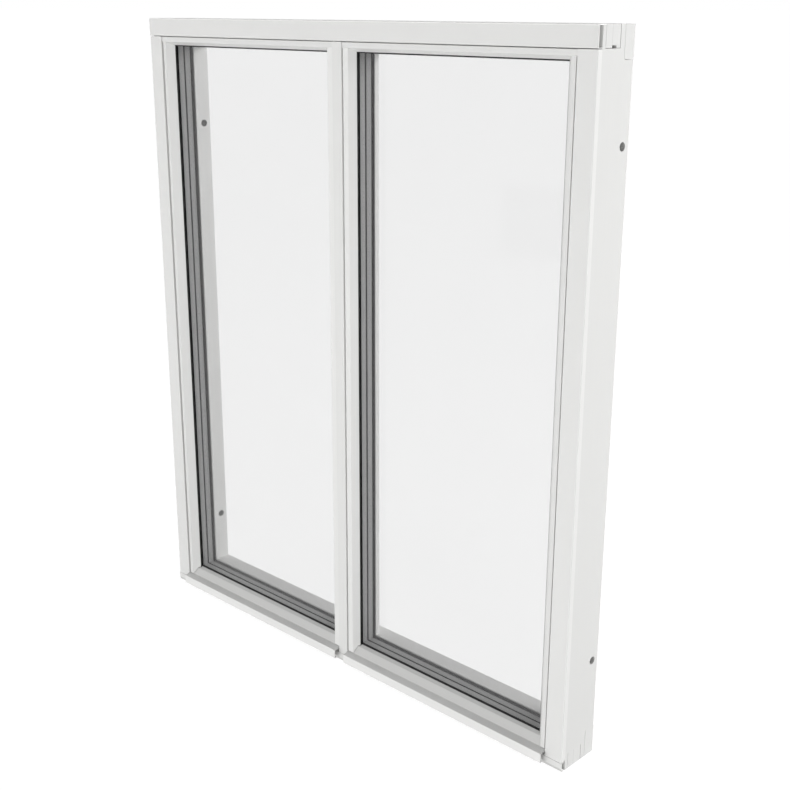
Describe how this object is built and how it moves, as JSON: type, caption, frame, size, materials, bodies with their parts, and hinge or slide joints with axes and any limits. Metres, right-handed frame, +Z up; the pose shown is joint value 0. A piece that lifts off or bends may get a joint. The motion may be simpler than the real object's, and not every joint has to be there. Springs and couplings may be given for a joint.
{
  "type": "fixed window",
  "caption": "White aluminium-clad timber fixed window, side-by-side bays behind one slim centre post, sealed triple glazing held by bevelled outside beads and a sloping sill bead.",
  "frame": {"origin": "middle of the frame's underside: halfway along the width, halfway through the depth of cladding and timber (the sill nose not counted), at the foot of the sill timber", "axes": "+Z up, -Y outdoors (the clad side with the beads), +Y the room side, +X to the right seen from outside"},
  "size_m": [1.38, 0.133, 1.58],
  "materials": {
    "painted_timber": "smooth opaque white paint over a faint grain",
    "cladding": "white satin powder coat on aluminium sections",
    "glazing_bead": "white satin powder coat on aluminium beads",
    "gasket": "matt black",
    "glass": "clear, polished",
    "spacer": "mid grey, perforated on the cavity side",
    "edge_seal": "matt dark sealant",
    "setting_block": "matt"
  },
  "bodies": {
    "root": {"head_cladding": "cladding", "head_timber": "painted_timber", "left_bay_edge_seal": "edge_seal", "left_bay_head_bead": "glazing_bead", "left_bay_inner_gasket": "gasket", "left_bay_inner_pane": "glass", "left_bay_inner_spacer": "spacer", "left_bay_jamb_side_bead": "glazing_bead", "left_bay_jamb_side_setting_block": "setting_block", "left_bay_middle_pane": "glass", "left_bay_mullion_side_bead": "glazing_bead", "left_bay_mullion_side_setting_block": "setting_block", "left_bay_outer_gasket": "gasket", "left_bay_outer_pane": "glass", "left_bay_outer_spacer": "spacer", "left_bay_sill_bead": "glazing_bead", "left_jamb_cladding": "cladding", "left_jamb_timber": "painted_timber", "mullion_cladding": "cladding", "mullion_timber": "painted_timber", "right_bay_edge_seal": "edge_seal", "right_bay_head_bead": "glazing_bead", "right_bay_inner_gasket": "gasket", "right_bay_inner_pane": "glass", "right_bay_inner_spacer": "spacer", "right_bay_jamb_side_bead": "glazing_bead", "right_bay_jamb_side_setting_block": "setting_block", "right_bay_middle_pane": "glass", "right_bay_mullion_side_bead": "glazing_bead", "right_bay_mullion_side_setting_block": "setting_block", "right_bay_outer_gasket": "gasket", "right_bay_outer_pane": "glass", "right_bay_outer_spacer": "spacer", "right_bay_sill_bead": "glazing_bead", "right_jamb_cladding": "cladding", "right_jamb_timber": "painted_timber", "sill_cladding": "cladding", "sill_timber": "painted_timber"}
  },
  "joints": []
}
